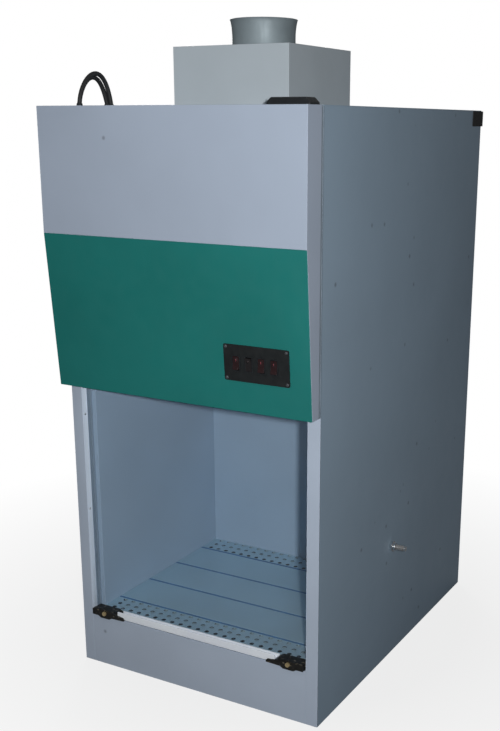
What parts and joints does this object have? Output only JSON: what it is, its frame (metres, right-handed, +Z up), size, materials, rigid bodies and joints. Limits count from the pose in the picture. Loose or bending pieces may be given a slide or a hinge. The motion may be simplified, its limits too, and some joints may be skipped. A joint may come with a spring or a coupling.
{
  "type": "biosafety cabinet",
  "caption": "Bench-top biosafety cabinet: steel shell, sliding clear view screen, perforated work floor, sloped switch hood and roof exhaust collar.",
  "frame": {"origin": "centre of the footprint of the cabinet body, on the surface it stands on", "axes": "+Z up; the working opening faces -Y; +X is the right-hand side seen from the front"},
  "size_m": [0.746, 1.026, 1.623],
  "materials": {
    "steel": "brushed stainless sheet",
    "body_paint": "smooth grey-blue enamel",
    "frame_paint": "smooth pale grey enamel",
    "chamber_paint": "smooth pale blue-grey enamel",
    "blue_seal": "soft blue sealing strip",
    "filter_board": "particle board frame with filter paper",
    "hood_grey": "smooth blue-grey enamel",
    "hood_green": "satin dark green enamel",
    "black_rubber": "matt black rubber",
    "plate_dark": "dark grey-green enamel",
    "black_plastic": "matt black moulded plastic",
    "screw_steel": "bright plated steel",
    "red_lens": "translucent red, lit from inside",
    "red_lens_off": "translucent red, unlit",
    "clear_pane": "clear acrylic",
    "rail_white": "bright anodised aluminium",
    "brass": "turned brass",
    "lamp_glass": "white coated glass tube",
    "lamp_holder": "white moulded plastic",
    "motor_iron": "dark painted casting",
    "duct_steel": "grey enamel on sheet steel",
    "lead_rubber": "black rubber sheath",
    "chrome": "polished chrome plate",
    "lever_orange": "orange moulded plastic"
  },
  "bodies": {
    "cabinet": {"base_pan": "steel", "left_side_panel": "body_paint", "right_side_panel": "body_paint", "rear_panel": "body_paint", "rear_panel_screws": "screw_steel", "roof_panel": "body_paint", "left_pillar": "frame_paint", "right_pillar": "frame_paint", "front_sill": "frame_paint", "left_chamber_wall": "chamber_paint", "right_chamber_wall": "chamber_paint", "back_chamber_wall": "chamber_paint", "ceiling_diffuser": "frame_paint", "tray_rails": "steel", "front_grille": "steel", "front_tray": "steel", "middle_tray": "steel", "rear_tray": "steel", "rear_grille": "steel", "tray_seals": "blue_seal", "plenum_front_wall": "steel", "plenum_rear_wall": "steel", "supply_filter": "filter_board", "exhaust_filter": "filter_board", "hood_cover": "hood_grey", "hood_panel": "hood_green", "hood_seal": "black_rubber", "switch_plate": "plate_dark", "switch_bezels": "black_plastic", "plate_screws": "screw_steel", "left_sash_guide": "black_plastic", "right_sash_guide": "black_plastic", "fluorescent_tube": "lamp_glass", "fluorescent_holders": "lamp_holder", "uv_tube": "lamp_glass", "uv_holders": "lamp_holder", "blower_housing": "steel", "blower_motor": "motor_iron", "exhaust_box": "duct_steel", "duct_collar": "duct_steel", "lead_glands": "black_plastic", "switch_leads": "lead_rubber", "wiring_cover": "black_plastic", "left_bumper": "black_rubber", "right_bumper": "black_rubber", "hose_nipple": "chrome", "service_cock": "chrome"},
    "sash": {"sash_pane": "clear_pane", "sash_rail": "rail_white", "left_sash_clamp": "black_plastic", "right_sash_clamp": "black_plastic"},
    "left_clamp_screw": {"left_clamp_screw": "brass"},
    "right_clamp_screw": {"right_clamp_screw": "brass"},
    "rocker_1": {"rocker_1": "red_lens"},
    "rocker_2": {"rocker_2": "red_lens_off"},
    "rocker_3": {"rocker_3": "red_lens"},
    "rocker_4": {"rocker_4": "red_lens"},
    "blower_wheel": {"blower_wheel": "steel"},
    "cock_lever": {"cock_lever": "lever_orange"}
  },
  "joints": [
    {"name": "sash_slide", "type": "slide", "parent": "cabinet", "child": "sash", "axis": [0, 0, 1], "range_m": [0, 0.6]},
    {"name": "left_clamp_turn", "type": "hinge", "parent": "sash", "child": "left_clamp_screw", "pos_m": [-0.274, -0.475, 0.1501], "axis": [0, 1, 0], "range_deg": [0, 270]},
    {"name": "right_clamp_turn", "type": "hinge", "parent": "sash", "child": "right_clamp_screw", "pos_m": [0.274, -0.475, 0.1501], "axis": [0, 1, 0], "range_deg": [0, 270]},
    {"name": "rocker_1_tilt", "type": "hinge", "parent": "cabinet", "child": "rocker_1", "pos_m": [0.167, -0.52487, 0.87734], "axis": [1, 0, 0], "range_deg": [0, 14]},
    {"name": "rocker_2_tilt", "type": "hinge", "parent": "cabinet", "child": "rocker_2", "pos_m": [0.199, -0.52487, 0.87734], "axis": [1, 0, 0], "range_deg": [-14, 0]},
    {"name": "rocker_3_tilt", "type": "hinge", "parent": "cabinet", "child": "rocker_3", "pos_m": [0.231, -0.52487, 0.87734], "axis": [1, 0, 0], "range_deg": [0, 14]},
    {"name": "rocker_4_tilt", "type": "hinge", "parent": "cabinet", "child": "rocker_4", "pos_m": [0.263, -0.52487, 0.87734], "axis": [1, 0, 0], "range_deg": [0, 14]},
    {"name": "blower_spin", "type": "hinge", "parent": "cabinet", "child": "blower_wheel", "pos_m": [0, 0.255, 1.06], "axis": [1, 0, 0], "continuous": true},
    {"name": "cock_turn", "type": "hinge", "parent": "cabinet", "child": "cock_lever", "pos_m": [0.279, -0.065, 0.317], "axis": [0, 0, 1], "range_deg": [-90, 0]}
  ]
}
